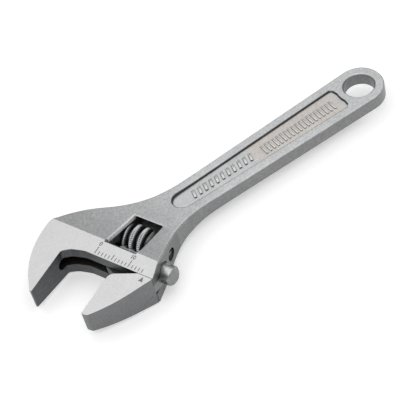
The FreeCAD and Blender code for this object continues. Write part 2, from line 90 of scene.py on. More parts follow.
@dataclass(frozen=True)
class HeadFrame:
    """Axes of the wrench's head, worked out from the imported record.

    reach points towards the jaw tips, across the way the sliding jaw opens, both from the root of
    the fixed jaw, where its face meets the throat.
    """

    face_reach: float = 9.0 * MM
    taper: float = math.tan(math.radians(5.0))
    throat_half: float = 4.5 * MM
    ground_depth: float = 4.75 * MM
    opening: float = 15.2 * MM
    throat_length: float = 26.0 * MM
    slope_length: float = 29.9 * MM
    half_handle: float = 2.0 * MM

    @property
    def across(self) -> Vector:
        """Direction in which the jaws open."""
        return Vector(packed_joint("jaw_slide")["axis"]).normalized()

    @property
    def reach(self) -> Vector:
        """Direction from the throat to the jaw tips."""
        across = self.across
        return Vector((across.y, -across.x, 0.0))

    @property
    def root(self) -> Vector:
        """Root of the fixed jaw at mid thickness."""
        mount = next(m for m in frame["record"]["mounts"] if m["name"] == "fixed_jaw_face")
        return Vector(mount["pos_m"]) - self.reach * self.face_reach

    def local(self, point: Vector) -> tuple[float, float, float]:
        """Reach, across and height of a point of the row frame."""
        offset = point - self.root
        return offset.dot(self.reach), offset.dot(self.across), point.z

    def row(self, reach: float, across: float, height: float = 0.0) -> Vector:
        """Row-frame point of a place given in the head's own axes."""
        return self.root + self.reach * reach + self.across * across + Vector((0.0, 0.0, height))

    def half_ground(self, reach: float) -> float:
        """Half the thickness between the ground flats at this reach."""
        return self.throat_half - reach * self.taper

    def half_thickness(self, reach: float) -> float:
        """Half the forging's thickness: flat handle, hollow rise, then the ground taper."""
        up_slope = reach + self.ground_depth + self.slope_length
        if up_slope <= 0:
            return self.half_handle
        if reach >= -self.ground_depth:
            return self.half_ground(reach)
        rise = self.half_ground(-self.ground_depth) - self.half_handle
        radius = (self.slope_length ** 2 + rise ** 2) / (2 * rise)
        return self.half_handle + radius - math.sqrt(radius ** 2 - up_slope ** 2)


@dataclass(frozen=True)
class WormAxis:
    """The worm's axis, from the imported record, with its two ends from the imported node."""

    @property
    def direction(self) -> Vector:
        """Along the worm, the way the jaws open."""
        return Vector(packed_joint("worm_spin")["axis"]).normalized()

    @property
    def middle(self) -> Vector:
        """Middle of the worm's length."""
        return Vector(packed_joint("worm_spin")["pos_m"])

    def pin_end(self) -> float:
        """How far the worm's pin reaches beyond the worm's middle."""
        places = (v.co for v in frame["nodes"]["worm_pin"].data.vertices)
        return max((place - self.middle).dot(self.direction) for place in places)

    def placing(self) -> Matrix:
        """Turns a shape made along Z about nought onto the worm's axis."""
        turn = Vector((0.0, 0.0, 1.0)).rotation_difference(self.direction)
        return Matrix.Translation(self.middle) @ turn.to_matrix().to_4x4()


HEAD = HeadFrame()


# ------------------------------------------------------------------ node trees
def two_sided(operation: str, flipped: bool = False) -> Callable[["Field", object], "Field"]:
    """A method of two values.

    Args:
        operation: the Math node's operation.
        flipped: whether the other value comes first, as in a reflected operator.

    Returns:
        The method.
    """
    def method(field_: "Field", other: object) -> "Field":
        """This and the other value through one Math node."""
        return field_.math(operation, *((other, field_) if flipped else (field_, other)))
    return method


def one_sided(operation: str) -> Callable[["Field"], "Field"]:
    """A method of one value, given its Math node's operation."""
    def method(field_: "Field") -> "Field":
        """This value through one Math node."""
        return field_.math(operation, field_)
    return method


class Field:
    """One output socket of a node tree, on which the usual operators add Math nodes."""

    def __init__(self, sheet: "Sheet", socket: bpy.types.NodeSocket) -> None:
        """Hold a socket and the sheet that it belongs to."""
        self.sheet = sheet
        self.socket = socket

    def math(self, operation: str, *values: object) -> "Field":
        """Result of one Math node, its values numbers or fields."""
        return self.sheet.node("ShaderNodeMath", {"operation": operation}, dict(enumerate(values)))

    __add__, __radd__ = two_sided("ADD"), two_sided("ADD", flipped=True)
    __sub__, __rsub__ = two_sided("SUBTRACT"), two_sided("SUBTRACT", flipped=True)
    __mul__, __rmul__ = two_sided("MULTIPLY"), two_sided("MULTIPLY", flipped=True)
    __truediv__, __rtruediv__ = two_sided("DIVIDE"), two_sided("DIVIDE", flipped=True)
    __pow__, __rpow__ = two_sided("POWER"), two_sided("POWER", flipped=True)
    __abs__ = one_sided("ABSOLUTE")
    least, most = two_sided("MINIMUM"), two_sided("MAXIMUM")
    cosine, sine, fraction = one_sided("COSINE"), one_sided("SINE"), one_sided("FRACT")

    def ramp(self, low: float, high: float, start: float = 0.0, end: float = 1.0) -> "Field":
        """A straight ramp, held beyond both ends.

        Args:
            low: where the ramp begins.
            high: where it finishes.
            start: the result at low.
            end: the result at high.

        Returns:
            The ramped value.
        """
        inputs = {"Value": self, "From Min": low, "From Max": high, "To Min": start, "To Max": end}
        return self.sheet.node("ShaderNodeMapRange", {"clamp": True}, inputs)


class Sheet:
    """A node tree under construction, for a material or for geometry."""

    def __init__(self, tree: bpy.types.NodeTree) -> None:
        """Hold the tree that the nodes go into."""
        self.tree = tree

    def raw(self, kind: str, settings: dict | None = None, inputs: dict | None = None) -> bpy.types.Node:
        """Add a node.

        Args:
            kind: the node's type name.
            settings: attributes that are set before the sockets.
            inputs: values or fields for its sockets, by name or by number.

        Returns:
            The node.
        """
        node = self.tree.nodes.new(kind)
        for name, value in (settings or {}).items():
            setattr(node, name, value)
        for key, value in (inputs or {}).items():
            self.feed(node.inputs[key], value)
        return node

    def feed(self, socket: bpy.types.NodeSocket, value: object) -> None:
        """Give a socket a value or a link."""
        if isinstance(value, Field):
            self.tree.links.new(value.socket, socket)
        else:
            socket.default_value = value

    def node(
        self, kind: str, settings: dict | None = None, inputs: dict | None = None, output: int | str = 0
    ) -> Field:
        """Add a node, as raw does, and take one of its outputs."""
        return Field(self, self.raw(kind, settings, inputs).outputs[output])

    def noise(self, place: Field, scale: float, detail: float) -> Field:
        """A noise about one half."""
        inputs = {"Vector": place, "Scale": scale, "Detail": detail}
        return self.node("ShaderNodeTexNoise", inputs=inputs)

    def parts(self, vector: Field) -> tuple[Field, Field, Field]:
        """The three parts of a vector."""
        split = self.raw("ShaderNodeSeparateXYZ", inputs={0: vector})
        return tuple(Field(self, split.outputs[axis]) for axis in "XYZ")

    def vectors(self, operation: str, *values: object, output: int | str = 0) -> Field:
        """The result of one Vector Math node."""
        inputs = dict(enumerate(values))
        return self.node("ShaderNodeVectorMath", {"operation": operation}, inputs, output)

    def upright(self) -> Field:
        """How far the surface looks up."""
        return self.parts(self.node("ShaderNodeTexCoord", output="Normal"))[2]

    def mix(self, blend: str, factor: object, first: object, second: object) -> Field:
        """Two colours mixed."""
        settings = {"data_type": "RGBA", "blend_type": blend}
        inputs = {"Factor": factor, "A": first, "B": second}
        return self.node("ShaderNodeMix", settings, inputs, "Result")


class GeometrySheet(Sheet):
    """A Geometry Nodes tree with named inputs that makes one mesh."""

    def __init__(self, name: str, values: dict[str, float]) -> None:
        """Start a tree.

        Args:
            name: what the tree is called.
            values: its named inputs and what the modifier sets them to; Count is a whole number.
        """
        super().__init__(bpy.data.node_groups.new(name, "GeometryNodeTree"))
        self.values = values
        interface = self.tree.interface
        interface.new_socket("Geometry", in_out="OUTPUT", socket_type="NodeSocketGeometry")
        for label in values:
            kind = "NodeSocketInt" if label == "Count" else "NodeSocketFloat"
            interface.new_socket(label, in_out="INPUT", socket_type=kind)
        source = self.tree.nodes.new("NodeGroupInput")
        self.given = {label: Field(self, source.outputs[label]) for label in values}

    def make(self, name: str, geometry: Field, material: bpy.types.Material) -> bpy.types.Object:
        """Finish the tree and turn its result into a plain mesh object.

        Args:
            name: the new piece's name.
            geometry: what the tree makes.
            material: the finish of all of it.

        Returns:
            The piece, at the origin.
        """
        whole = self.node("GeometryNodeRealizeInstances", inputs={"Geometry": geometry})
        dressed = self.node("GeometryNodeSetMaterial", inputs={"Geometry": whole, "Material": material})
        sink = self.tree.nodes.new("NodeGroupOutput")
        self.feed(sink.inputs["Geometry"], dressed)
        carrier = new_object(name + "_tree", bpy.data.meshes.new(name + "_tree"))
        modifier = carrier.modifiers.new("tree", "NODES")
        modifier.node_group = self.tree
        for item in self.tree.interface.items_tree:
            if item.in_out == "INPUT":
                modifier[item.identifier] = self.values[item.name]
        mesh = evaluated_mesh(carrier)
        carrier.modifiers.remove(modifier)
        bpy.data.objects.remove(carrier)
        mesh.name = name
        return new_object(name, mesh)


# ------------------------------------------------------------------ small mesh helpers
def new_object(name: str, mesh: bpy.types.Mesh) -> bpy.types.Object:
    """Put a mesh into the scene under a name."""
    piece = bpy.data.objects.new(name, mesh)
    bpy.context.scene.collection.objects.link(piece)
    return piece


def merged_copy(node: str) -> bmesh.types.BMesh:
    """A CAD node's mesh with its loose triangles joined.

    Args:
        node: the CAD node's name.

    Returns:
        The joined mesh, its normals outward.
    """
    shape = shape_of(frame["nodes"][node].data)
    bmesh.ops.remove_doubles(shape, verts=shape.verts, dist=WELD)
    bmesh.ops.recalc_face_normals(shape, faces=shape.faces)
    return shape


def make_faces_whole(shape: bmesh.types.BMesh) -> None:
    """Join the triangles of each flat face."""
    bmesh.ops.dissolve_limit(
        shape, angle_limit=FLAT_ANGLE, verts=shape.verts, edges=shape.edges,
        use_dissolve_boundaries=False,
    )


def shape_of(mesh: bpy.types.Mesh) -> bmesh.types.BMesh:
    """Open a mesh as a shape that can be worked on."""
    shape = bmesh.new()
    shape.from_mesh(mesh)
    return shape


def put_back(shape: bmesh.types.BMesh, mesh: bpy.types.Mesh) -> None:
    """Store a shape in a mesh and let go of it."""
    shape.to_mesh(mesh)
    shape.free()


def mesh_of(shape: bmesh.types.BMesh, name: str) -> bpy.types.Mesh:
    """Store a shape as a new mesh and let go of it."""
    mesh = bpy.data.meshes.new(name)
    put_back(shape, mesh)
    return mesh


def shade_smooth(mesh: bpy.types.Mesh, sharp: float) -> None:
    """Shade a mesh smooth, but hard over edges of more than sharp degrees."""
    for polygon in mesh.polygons:
        polygon.use_smooth = True
    mesh.set_sharp_from_angle(angle=math.radians(sharp))


def evaluated_mesh(piece: bpy.types.Object) -> bpy.types.Mesh:
    """A plain mesh of a piece as its modifiers leave it."""
    bpy.context.view_layer.update()
    graph = bpy.context.evaluated_depsgraph_get()
    return bpy.data.meshes.new_from_object(piece.evaluated_get(graph))


def applied(piece: bpy.types.Object) -> bpy.types.Object:
    """Turn a piece with modifiers into a plain mesh object of the same name."""
    result = evaluated_mesh(piece)
    name = piece.name
    bpy.data.objects.remove(piece)
    result.name = name
    return new_object(name, result)


def break_edges(piece: bpy.types.Object, width: float, segments: int) -> None:
    """Round the edges of a piece that carry a weight.

    Args:
        piece: the object, its edges weighted.
        width: the round at a weight of one.
        segments: facets across each round.
    """
    bevel = piece.modifiers.new("rounds", "BEVEL")
    bevel.limit_method = "WEIGHT"
    bevel.width = width
    bevel.segments = segments
    bevel.use_clamp_overlap = False
    bevel.loop_slide = False


def settle_shading(piece: bpy.types.Object, sharp: float) -> bpy.types.Object:
    """Shade a piece smooth, with its flats kept flat and its ground borders crisp.

    Args:
        piece: the object.
        sharp: angle in degrees above which an edge stays hard.

    Returns:
        A new object with the result applied.
    """
    shape = shape_of(piece.data)
    ground = ZONE_ORDER.index(Zone.GROUND)
    for face in shape.faces:
        face.smooth = True
    for edge in shape.edges:
        if len(edge.link_faces) != 2:
            continue
        turn = edge.calc_face_angle(0.0)
        kinds = [face.material_index for face in edge.link_faces]
        border = ground in kinds and kinds[0] != kinds[1] and turn > GROUND_BORDER
        edge.smooth = not (border or turn > math.radians(sharp))
    put_back(shape, piece.data)
    weighted = piece.modifiers.new("shading", "WEIGHTED_NORMAL")
    weighted.keep_sharp = True
    weighted.weight = FLAT_WEIGHT
    return applied(piece)


# ------------------------------------------------------------------ finishes
@dataclass(frozen=True)
class Tone:
    """A linear grey with a slight tint."""

    grey: float
    warmth: float = 0.0

    def rgba(self) -> tuple[float, float, float, float]:
        """The colour with its alpha."""
        return (self.grey * (1 + self.warmth), self.grey, self.grey * (1 - self.warmth), 1.0)


@dataclass(frozen=True)
class MetalFinish:
    """A steel surface with its lay, mottle and small pits, and painted shade on its walls.

    lay is the direction of the grinding or brushing, as an angle about Z, and stretch is how much
    longer its lines are than they are wide.
    """

    name: str
    tone: Tone
    roughness: float
    lay: float = 0.0
    grain: float = 5200.0
    stretch: float = 18.0
    grain_depth: float = 0.10
    mottle: float = 0.06
    pit_depth: float = 0.34
    pit_scale: float = 2300.0
    cloud_scale: float = 260.0
    relief: float = 0.010 * MM
    bump: float = 0.55
    pit_share: float = 0.6
    line_gloss: float = 0.12
    pit_gloss: float = 0.08
    # wall_gain below one is painted shade on upright walls and on rounds that turn from the light
    wall_gain: float = 1.0
    metal: float = 1.0

    def material(self) -> bpy.types.Material:
        """Build the material.

        Returns:
            A material on Object coordinates, metallic, with bump from its own grain.
        """
        material = bpy.data.materials.new(self.name)
        material.use_nodes = True
        sheet = Sheet(material.node_tree)
        sheet.tree.nodes.clear()
        place = sheet.node("ShaderNodeTexCoord", output="Object")
        lines = self._lines(sheet, place)
        clouds = sheet.noise(place, self.cloud_scale, 4.0)
        pits = sheet.noise(place, self.pit_scale, 3.0)
        shade = 1.0 + (lines - 0.5) * (2 * self.grain_depth) + (clouds - 0.5) * (2 * self.mottle)
        shade = shade + (pits - 0.5) * (2 * self.pit_depth)
        # the grain's gain times the gain from _wall, which paints shade on walls and hollows, and light on the
        # slot's upward side
        gain = shade * self._wall(sheet, place)
        grey = sheet.node("ShaderNodeCombineColor", inputs={0: gain, 1: gain, 2: gain})
        colour = sheet.mix("MULTIPLY", 1.0, self._base(sheet, place), grey)
        rough = self.roughness + (lines - 0.5) * self.line_gloss + (pits - 0.5) * self.pit_gloss
        height = lines * (1 - self.pit_share) + pits * self.pit_share
        bump = {"Strength": self.bump, "Distance": self.relief, "Height": height}
        normal = sheet.node("ShaderNodeBump", inputs=bump)
        shader = sheet.node(
            "ShaderNodeBsdfPrincipled",
            inputs={"Base Color": colour, "Metallic": self.metal, "Roughness": rough, "Normal": normal},
        )
        sheet.raw("ShaderNodeOutputMaterial", inputs={"Surface": shader})
        return material

    def _lines(self, sheet: Sheet, place: Field) -> Field:
        """Fine lines along the lay.

        Args:
            sheet: the material's tree.
            place: object coordinates.

        Returns:
            A value about one half.
        """
        fine = 1 / self.grain
        scale = (fine * self.stretch, fine, fine)
        inputs = {"Vector": place, "Rotation": (0.0, 0.0, self.lay), "Scale": scale}
        turned = sheet.node("ShaderNodeMapping", {"vector_type": "TEXTURE"}, inputs)
        return sheet.noise(turned, 1.0, 2.0)

    def _base(self, sheet: Sheet, place: Field) -> object:
        """The steel's own colour, before its grain."""
        return self.tone.rgba()

    def _wall(self, sheet: Sheet, place: Field) -> Field:
        """Painted shade: how much darker the colour is made where the surface stands on edge.

        Args:
            sheet: the material's tree.
            place: object coordinates, not used here.

        Returns:
            A gain, one on the flats and wall_gain on upright walls.
        """
        return abs(sheet.upright()).ramp(0.15, 0.75, self.wall_gain, 1.0)


@dataclass(frozen=True)
class BarLayout:
    """Where the plain bars of a row stand on the handle, and how large they are."""

    start: float
    end: float
    count: int
    length: float
    width: float
    tilt: float = 0.0
    offset: float = 0.0

    def near(self, along: Field, beside: Field, margin: float, soft: float) -> Field:
        """Mask of the places on the bars or close round them.

        Args:
            along: coordinate along the handle.
            beside: coordinate across it.
            margin: how far out from a bar the mask reaches.
            soft: how wide the mask's edge is.

        Returns:
            One beside a bar, nought away from it.
        """
        pitch = (self.end - self.start) / (self.count - 1)
        height = beside - self.offset
        steps = (along - self.start + height * math.tan(self.tilt)) / pitch
        cell = ((steps + 0.5).fraction() - 0.5) * pitch
        across = abs(cell * math.cos(self.tilt))
        beyond = abs(along - (self.start + self.end) / 2) - (self.end - self.start) / 2
        reach = self.width / 2 + margin
        rise = self.length / 2 * math.cos(self.tilt) + margin
        thin = across.ramp(reach - soft, reach, 1.0, 0.0)
        tall = abs(height).ramp(rise - soft, rise, 1.0, 0.0)
        ends = beyond.ramp(pitch / 2 - soft, pitch / 2, 1.0, 0.0)
        return thin * tall * ends


SIZE_BARS = BarLayout(-52.0 * MM, -34.6 * MM, 11, 2.5 * MM, 0.62 * MM, math.radians(-16))
GRIP_BARS = BarLayout(-30.6 * MM, -9.0 * MM, 19, 3.1 * MM, 0.48 * MM, 0.0, offset=-0.35 * MM)


@dataclass(frozen=True)
class StainedFinish(MetalFinish):
    """A satin bed that is faintly yellow along part of its length, with painted shade round the feet of its bars.
    """

    stain: Tone = Tone(0.56, 0.055)
    stain_start: float = -34.0 * MM
    stain_end: float = -7.0 * MM
    fade: float = 1.2 * MM
    bar_shade: float = 0.55
    bar_shade_reach: float = 0.24 * MM
    bar_shade_fade: float = 0.12 * MM
    grip_share: float = 0.6

    def _wall(self, sheet: Sheet, place: Field) -> Field:
        """Gain of painted shade that darkens walls and the bed round each bar."""
        upright = super()._wall(sheet, place)
        along, beside, _ = sheet.parts(place)
        size, grip = (
            bars.near(along, beside, self.bar_shade_reach, self.bar_shade_fade)
            for bars in (SIZE_BARS, GRIP_BARS)
        )
        return upright * (1 - (size * self.bar_shade).most(grip * (self.bar_shade * self.grip_share)))

    def _base(self, sheet: Sheet, place: Field) -> Field:
        """The bed's colour, stained between its two ends."""
        along = sheet.parts(place)[0]
        rise = along.ramp(self.stain_start - self.fade, self.stain_start + self.fade)
        fall = along.ramp(self.stain_end - self.fade, self.stain_end + self.fade, 1.0, 0.0)
        return sheet.mix("MIX", rise * fall, self.tone.rgba(), self.stain.rgba())


@dataclass(frozen=True)
class ThreadFinish(MetalFinish):
    """Steel that is bright on a thread's crest and dark with painted shade down in its valleys."""

    root: float = 2.95 * MM
    crest: float = 4.05 * MM
    valley_shade_gain: float = 0.10
    crest_gain: float = 0.86

    def _wall(self, sheet: Sheet, place: Field) -> Field:
        """Painted shade: gain from the distance to the worm's axis."""
        axis = WormAxis()
        offset = sheet.vectors("SUBTRACT", place, axis.middle)
        across = sheet.vectors("CROSS_PRODUCT", offset, axis.direction)
        radius = sheet.vectors("LENGTH", across, output="Value")
        return radius.ramp(self.root, self.crest, self.valley_shade_gain, self.crest_gain)


@dataclass(frozen=True)
class SlotFinish(MetalFinish):
    """A screw's end that is bright on its face and dark with painted shade down in its slot."""

    slot_depth: float = 0.45 * MM
    slot_shade_gain: float = 0.04

    def _wall(self, sheet: Sheet, place: Field) -> Field:
        """Painted shade: gain from the depth below the screw's end."""
        axis = WormAxis()
        offset = sheet.vectors("SUBTRACT", place, axis.middle)
        along = sheet.vectors("DOT_PRODUCT", offset, axis.direction, output="Value")
        face = axis.pin_end()
        return along.ramp(face - self.slot_depth, face - 0.1 * self.slot_depth, self.slot_shade_gain, 1.0)


@dataclass(frozen=True)
class ShadowedSlotFinish(MetalFinish):
    """A rough slot of brownish tone, black with painted shadow and lighter with painted light on the side that
    looks up.
    """

    lit_gain: float = 2.8
    shadow_gain: float = 0.6
    patch_scale: float = 900.0
    patchiness: float = 0.9

    def _wall(self, sheet: Sheet, place: Field) -> Field:
        """Painted light and shadow: gain from how far the surface looks up, broken up by noise patches."""
        patches = (sheet.noise(place, self.patch_scale, 3.0) - 0.5) * self.patchiness
        return (sheet.upright() + patches).ramp(0.25, 0.75, self.shadow_gain, self.lit_gain)


class Finish(Enum):
    """The finishes of this wrench."""

    # a wall_gain below one paints shade on a finish's walls and rounds
    SATIN_PLATE = MetalFinish(
        "satin_plate", Tone(0.545, -0.010), 0.36, lay=math.radians(12), stretch=7.0, grain_depth=0.16,
        mottle=0.11, pit_depth=0.40, pit_scale=1900.0, wall_gain=0.42,
    )
    GROUND_FLAT = MetalFinish(
        "ground_flat", Tone(0.60), 0.38, lay=math.radians(22), stretch=10.0,
        grain_depth=0.12, mottle=0.04, pit_depth=0.16, wall_gain=0.5,
    )
    # inner walls of throat, window and jaw: a dark tone that is painted shade, with a coarse lay
    SHADED_INNER_WALL = MetalFinish(
        "shaded_inner_wall", Tone(0.100, -0.03), 0.42, lay=math.radians(22), grain=3400.0, stretch=7.0,
        grain_depth=0.7,
    )
    # outer side walls: a dark tone that is painted shade
    OUTER_WALL = MetalFinish("outer_wall", Tone(0.19, -0.015), 0.42, stretch=3.0)
    # holes, channel and slots: black with painted shadow, with painted light where they look up
    SLOT_DARK = ShadowedSlotFinish("slot_dark", Tone(0.040, 0.10), 0.5, grain_depth=0.4, pit_depth=0.7)
    MARK_INK = MetalFinish("mark_ink", Tone(0.22), 0.6, metal=0.3)
    # upper strip of the window's near bevel: a light tone that is a painted highlight
    PAINTED_HIGHLIGHT_BEVEL = MetalFinish("painted_highlight_bevel", Tone(0.80), 0.5, stretch=3.0)
    PANEL_BED = StainedFinish(
        "panel_bed", Tone(0.555, -0.008), 0.40, stretch=2.0, grain=2600.0, mottle=0.16, pit_depth=0.28,
        wall_gain=0.25,
    )
    # wall and rounded rim of the handle's panel: a dark tone that is painted shade
    PANEL_RIM = MetalFinish("panel_rim", Tone(0.13, -0.02), 0.42, stretch=2.0, mottle=0.3)
    # the bars' walls are darkened with painted shade through wall_gain
    RAISED_MARK = StainedFinish("raised_mark", Tone(0.58), 0.34, wall_gain=0.12, bar_shade=0.0)
    WORM_STEEL = ThreadFinish(
        "knurled_thread", Tone(0.62, -0.015), 0.32, stretch=2.0, grain=4000.0, mottle=0.2
    )
    PIN_STEEL = SlotFinish("slotted_end", Tone(0.42), 0.4, stretch=2.0)
    SPRING_WIRE = MetalFinish("spring_wire_grey", Tone(0.35), 0.3)

    def material(self) -> bpy.types.Material:
        """The finish's material, built once."""
        found = bpy.data.materials.get(self.value.name)
        return found or self.value.material()


# ------------------------------------------------------------------ forged and ground pieces
class Zone(Enum):
    """What kind of surface a face of the body or the jaw is."""

    FORGED = Finish.SATIN_PLATE
    GROUND = Finish.GROUND_FLAT
    OUTER = Finish.OUTER_WALL
    INNER = Finish.SHADED_INNER_WALL
    SLOT = Finish.SLOT_DARK
    MARK = Finish.MARK_INK
    PANEL = Finish.PANEL_BED
    BEVEL = Finish.PAINTED_HIGHLIGHT_BEVEL
    RIM = Finish.PANEL_RIM


ZONE_ORDER = list(Zone)


@dataclass
class SteelPiece:
    """A steel piece made from its CAD node, its edges rounded as the maker leaves them."""

    name: str
    node: str
    body: str
    record_slot: str
    widest: float = 0.34 * MM
    flat_normal: float = 0.9
    slack: float = 0.02 * MM
    mark_depth: float = 0.12 * MM
    mark_wall: float = 0.3 * MM
    hard_angle: float = 28.0

    def build(self) -> bpy.types.Object:
        """Copy, sort, weight and round the piece.

        Returns:
            The finished piece, riding on its body.
        """
        shape = self.outer_shape()
        make_faces_whole(shape)
        for face in shape.faces:
            face.material_index = ZONE_ORDER.index(self.zone(face))
        self.round_first(shape)
        weights = shape.edges.layers.float.get("bevel_weight_edge")
        if weights is None:
            weights = shape.edges.layers.float.new("bevel_weight_edge")
        for edge in shape.edges:
            edge[weights] = self.edge_round(edge) / self.widest if self.is_corner(edge) else 0.0
        mesh = mesh_of(shape, self.name)
        for zone in ZONE_ORDER:
            mesh.materials.append(zone.value.material())
        piece = new_object(self.name, mesh)
        break_edges(piece, self.widest, 2)
        piece = settle_shading(applied(piece), self.hard_angle)
        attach(piece, self.body)
        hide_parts(self.node)
        LOG.info("%s: %d faces", self.name, len(piece.data.polygons))
        return piece

    def outer_shape(self) -> bmesh.types.BMesh:
        """The piece's joined shape, its outer rims rounded where they are more than broken."""
        return merged_copy(self.node)

    def round_first(self, shape: bmesh.types.BMesh) -> None:
        """Round edges whose rounds have a finish of their own."""

    def zone(self, face: bmesh.types.BMFace) -> Zone:
        """Sort a face by where it lies and which way it looks."""
        raise NotImplementedError

    def edge_round(self, edge: bmesh.types.BMEdge) -> float:
        """Radius of the round on an outer corner, nought where it stays crisp."""
        raise NotImplementedError

    def is_corner(self, edge: bmesh.types.BMEdge) -> bool:
        """Whether an edge is an outer corner that is not part of a mark or of the panel."""
        if len(edge.link_faces) != 2 or not edge.is_convex:
            return False
        zones = {ZONE_ORDER[face.material_index] for face in edge.link_faces}
        plain = not zones & {Zone.MARK, Zone.PANEL, Zone.RIM}
        return plain and edge.calc_face_angle(0.0) >= math.radians(self.hard_angle)

    def is_low_wall(self, face: bmesh.types.BMFace) -> bool:
        """Whether a face is an upright wall as low as those of an engraved mark."""
        heights = [vert.co.z for vert in face.verts]
        return max(heights) - min(heights) < self.mark_wall and abs(face.normal.z) < 0.5

    def flat_kind(self, face: bmesh.types.BMFace) -> Zone | None:
        """Whether a face that looks up or down is ground, or the bed of an engraved mark."""
        reach, _, height = HEAD.local(face.calc_center_median())
        if abs(face.normal.z) < self.flat_normal or reach < -HEAD.ground_depth - self.slack:
            return None
        under = HEAD.half_ground(reach) - abs(height)
        if under < 1.5 * self.slack:
            return Zone.GROUND
        if under < 2 * self.mark_depth:
            return Zone.MARK
        return None


@dataclass
class RimBlank:
    """The forging's outer envelope with rounded rims, which trims the body's sharp ones.

    The round's radius follows where the rim is, changes slowly along it, and shrinks on corners
    that are tighter than itself.
    """

    handle_round: float = 0.4 * MM
    neck_round: float = 0.6 * MM
    flank_round: float = 0.55 * MM
    jaw_round: float = 0.1 * MM
    handle_end: float = -58.0 * MM
    slope: float = 0.25
    corner_share: float = 0.6
    facets: int = 5
    outside: float = 0.01 * MM
    lid: float = 7.0 * MM
    climb: float = 2.0 * MM
    upward: float = 0.9
    sideways: float = 0.2
    flank: Patch = Patch((-HEAD.ground_depth, -1.2 * MM), (22 * MM, 40 * MM))

    def object(self, mesh: bpy.types.Mesh) -> bpy.types.Object:
        """Build the envelope for a body.

        Args:
            mesh: the body's mesh, its rims still sharp.

        Returns:
            The envelope, as a closed mesh object.
        """
        rim = self._rim(mesh)
        inward = self._inward(rim)
        radii = self._radii(rim)
        half = [HEAD.half_thickness(HEAD.local(Vector((x, y, 0.0)))[0]) for x, y in rim]
        rings = []
        for side in (-1, 1):
            arcs = []
            for step in range(self.facets + 1):
                angle = step / self.facets * math.pi / 2
                offset = radii * (1 - math.cos(angle)) - self.outside
                height = np.array(half) - radii * (1 - math.sin(angle)) + self.outside * math.sin(angle)
                arcs.append(self._ring(rim, inward, offset, side * height))
            lid = np.full(len(rim), side * self.lid)
            arcs.append(self._ring(rim, inward, radii - self.outside, lid))
            rings += arcs[::-1] if side < 0 else arcs
        return self._loft(rings, rim)

    def _rim(self, mesh: bpy.types.Mesh) -> np.ndarray:
        """Upper rim of the body as a closed walk of (x, y) places, anticlockwise."""
        shape = shape_of(mesh)
        start = max((v for v in shape.verts if v.co.z > 0), key=lambda v: (v.co.x, v.co.z))
        walk = [start]
        before = None
        while True:
            ahead = [
                e.other_vert(walk[-1]) for e in walk[-1].link_edges
                if self._is_rim(e) and e.other_vert(walk[-1]) is not before
            ]
            before = walk[-1]
            if not ahead or ahead[0] is start:
                break
            walk.append(ahead[0])
        places = np.array([(v.co.x, v.co.y) for v in walk])
        shape.free()
        following = np.roll(places, -1, axis=0)
        area = np.sum(places[:, 0] * following[:, 1] - following[:, 0] * places[:, 1])
        LOG.info("rim: %d places", len(places))
        return places if area > 0 else places[::-1]

    def _is_rim(self, edge: bmesh.types.BMEdge) -> bool:
        """Whether an edge lies between the upper face and an upright wall."""
        if len(edge.link_faces) != 2 or not edge.is_convex:
            return False
        ups = sorted(face.normal.z for face in edge.link_faces)
        climb = abs(edge.verts[0].co.z - edge.verts[1].co.z)
        return ups[1] > self.upward and abs(ups[0]) < self.sideways and climb < self.climb

    def _inward(self, rim: np.ndarray) -> np.ndarray:
        """Inward mitre direction at each place of the rim, longer on a corner."""
        along = np.roll(rim, -1, axis=0) - rim
        along /= np.linalg.norm(along, axis=1)[:, None]
        normal = np.stack([-along[:, 1], along[:, 0]], axis=1)
        before = np.roll(normal, 1, axis=0)
        mitre = normal + before
        return mitre / (1 + np.sum(normal * before, axis=1))[:, None]

    def _radii(self, rim: np.ndarray) -> np.ndarray:
        """Radius of the round at each place of the rim."""
        wish = np.array([self._wish(*HEAD.local(Vector((x, y, 0.0)))[:2], x) for x, y in rim])
        along = np.roll(rim, -1, axis=0) - rim
        step = np.linalg.norm(along, axis=1)
        before = np.roll(along, 1, axis=0)
        cross = before[:, 0] * along[:, 1] - before[:, 1] * along[:, 0]
        turn = np.arctan2(cross, np.sum(before * along, axis=1))
        reachable = (step + np.roll(step, 1)) / 2 / np.maximum(turn, 1e-9)
        wish = np.minimum(wish, reachable * self.corner_share)
        for _ in range(2):
            for i in range(len(rim)):
                wish[i] = min(wish[i], wish[i - 1] + self.slope * step[i - 1])
            for i in reversed(range(len(rim))):
                wish[i] = min(wish[i], wish[(i + 1) % len(rim)] + self.slope * step[i])
        return wish

    def _wish(self, reach: float, across: float, x: float) -> float:
        """Radius that the maker left here."""
        if x > self.handle_end:
            return self.handle_round
        if reach < -HEAD.ground_depth:
            return self.neck_round
        if self.flank.holds(reach, across):
            return self.flank_round
        return self.jaw_round

    def _ring(
        self, rim: np.ndarray, inward: np.ndarray, offset: np.ndarray, height: np.ndarray
    ) -> np.ndarray:
        """The rim moved inwards and to a height."""
        return np.column_stack([rim + inward * offset[:, None], height])

    def _loft(self, rings: list[np.ndarray], rim: np.ndarray) -> bpy.types.Object:
        """Close the rings into a solid of triangles."""
        count = len(rim)
        faces = [tuple(range(count))[::-1], tuple(range((len(rings) - 1) * count, len(rings) * count))]
        for level in range(len(rings) - 1):
            low = level * count
            for i in range(count):
                j = (i + 1) % count
                faces.append((low + i, low + j, low + count + j, low + count + i))
        mesh = bpy.data.meshes.new("rim_blank")
        mesh.from_pydata(np.concatenate(rings).tolist(), [], faces)
        shape = shape_of(mesh)
        bmesh.ops.triangulate(shape, faces=shape.faces)
        return new_object("rim_blank", mesh_of(shape, "rim_blank"))


